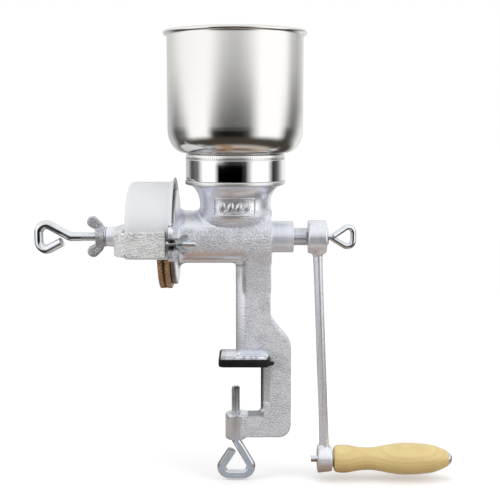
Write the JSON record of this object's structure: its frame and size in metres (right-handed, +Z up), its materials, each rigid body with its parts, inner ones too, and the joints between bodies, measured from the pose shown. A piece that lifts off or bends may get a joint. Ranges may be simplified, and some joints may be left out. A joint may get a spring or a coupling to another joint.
{
  "type": "hand grain mill",
  "caption": "Hand-cranked grain mill with a table clamp, steel hopper, worm-fed grinding discs under a white guard and a wooden crank grip.",
  "frame": {"origin": "underside of the clamp pad, where the table top touches it, on the common axis of hopper and clamp screw", "axes": "+X along the shaft from the grinding discs to the crank, +Y to the rear, +Z up through the hopper"},
  "size_m": [0.4397, 0.1528, 0.4697],
  "materials": {
    "tinned_iron": "bright tinned casting, coarse sand-cast grain",
    "crank_iron": "tinned casting, smoother grain",
    "disc_iron": "bare iron with a warm brown tint",
    "shaft_iron": "turned and tinned",
    "steel": "plain hardened steel",
    "zinc_steel": "bright zinc plating",
    "cast_zinc": "as cast, satin",
    "satin_steel": "satin stainless steel sheet",
    "bright_steel": "mirror-polished stainless steel sheet",
    "white_paint": "satin white",
    "rubber": "smooth black",
    "wood": "clear lacquered beech"
  },
  "bodies": {
    "frame": {"mill_body": "tinned_iron", "clamp_pad": "rubber", "fixed_disc": "disc_iron", "yoke": "tinned_iron", "yoke_bolt_front": "zinc_steel", "yoke_bolt_rear": "zinc_steel", "flour_guard": "white_paint"},
    "hopper": {"hopper_bowl": "satin_steel", "hopper_collar": "bright_steel"},
    "gap_carrier": {"thrust_ball": "steel"},
    "adjuster": {"adjusting_screw": "zinc_steel"},
    "rotor": {"auger_shaft": "shaft_iron", "rotating_disc": "disc_iron", "drive_pin": "steel", "crank_arm": "crank_iron", "handle_bolt": "zinc_steel", "handle_washer": "zinc_steel"},
    "grip": {"handle_grip": "wood"},
    "crank_washer": {"crank_washer": "zinc_steel"},
    "crank_screw": {"crank_screw": "zinc_steel"},
    "lock_washer": {"lock_washer": "zinc_steel"},
    "lock_nut": {"lock_wing_nut": "cast_zinc"},
    "nut_front": {"wing_nut_front": "cast_zinc"},
    "nut_rear": {"wing_nut_rear": "cast_zinc"},
    "clamp_screw": {"clamp_screw": "zinc_steel"}
  },
  "joints": [
    {"name": "hopper_lift", "type": "slide", "parent": "frame", "child": "hopper", "axis": [0, 0, 1], "range_m": [0, 0.04]},
    {"name": "grind_gap", "type": "slide", "parent": "frame", "child": "gap_carrier", "axis": [-1, 0, 0], "range_m": [0, 0.00225]},
    {"name": "adjust_turn", "type": "hinge", "parent": "gap_carrier", "child": "adjuster", "pos_m": [0, 0, 0.1335], "axis": [-1, 0, 0], "range_deg": [0, 540.1]},
    {"name": "crank_turn", "type": "hinge", "parent": "gap_carrier", "child": "rotor", "pos_m": [0, 0, 0.1335], "axis": [1, 0, 0], "continuous": true},
    {"name": "grip_turn", "type": "hinge", "parent": "rotor", "child": "grip", "pos_m": [0, 0, -0.1058], "axis": [1, 0, 0], "continuous": true},
    {"name": "crank_washer_feed", "type": "slide", "parent": "rotor", "child": "crank_washer", "axis": [1, 0, 0], "range_m": [0, 0.002]},
    {"name": "crank_screw_turn", "type": "hinge", "parent": "crank_washer", "child": "crank_screw", "pos_m": [0, 0, 0.1335], "axis": [1, 0, 0], "range_deg": [0, 720.1]},
    {"name": "lock_washer_feed", "type": "slide", "parent": "frame", "child": "lock_washer", "axis": [-1, 0, 0], "range_m": [0, 0.0015]},
    {"name": "lock_nut_turn", "type": "hinge", "parent": "lock_washer", "child": "lock_nut", "pos_m": [0, 0, 0.1335], "axis": [-1, 0, 0], "range_deg": [0, 360.1]},
    {"name": "nut_front_turn", "type": "hinge", "parent": "frame", "child": "nut_front", "pos_m": [0, -0.064, 0.1335], "axis": [1, 0, 0], "range_deg": [0, 360]},
    {"name": "nut_rear_turn", "type": "hinge", "parent": "frame", "child": "nut_rear", "pos_m": [0, 0.064, 0.1335], "axis": [1, 0, 0], "range_deg": [0, 360]},
    {"name": "clamp_feed", "type": "slide", "parent": "frame", "child": "clamp_screw", "axis": [0, 0, 1], "range_m": [-0.029, 0]}
  ],
  "couplings": [
    {"joint": "adjust_turn", "follows": "grind_gap", "rad_per_m": 4188.8},
    {"joint": "lock_nut_turn", "follows": "lock_washer_feed", "rad_per_m": 4188.8},
    {"joint": "crank_screw_turn", "follows": "crank_washer_feed", "rad_per_m": 6283.2}
  ]
}
